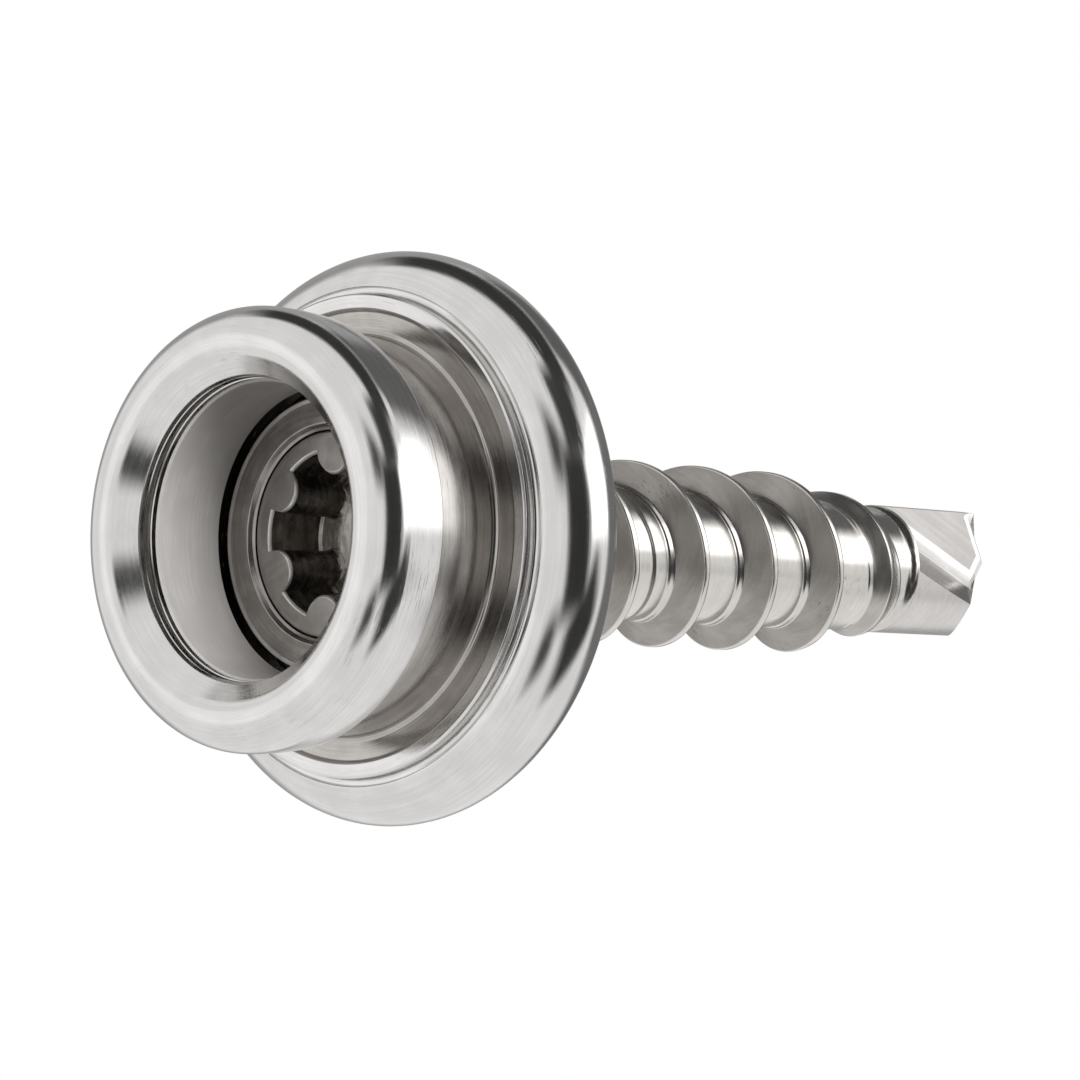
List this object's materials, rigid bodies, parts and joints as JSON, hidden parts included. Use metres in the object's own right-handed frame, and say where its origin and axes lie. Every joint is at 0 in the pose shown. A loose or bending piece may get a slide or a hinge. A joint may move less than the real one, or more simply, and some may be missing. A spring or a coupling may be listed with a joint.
{
  "type": "snap fastener screw stud",
  "caption": "Turned stainless snap stud with a beaded head and rounded flange, and a self-drilling six-lobe screw staked into its bore.",
  "frame": {"origin": "on the axis, in the plane of the snap head's nose, on which the stud stands", "axes": "+Z along the axis from the snap head to the drill point; a lobe of the drive recess lies towards +Y"},
  "size_m": [0.0138, 0.0138, 0.0283],
  "materials": {
    "stud_steel": "polished stainless steel with turning marks, satin in the bore and on the neck",
    "screw_steel": "stainless steel, bright on the thread's root and satin on its flanks"
  },
  "bodies": {
    "root": {"stud": "stud_steel", "screw": "screw_steel"}
  },
  "joints": []
}
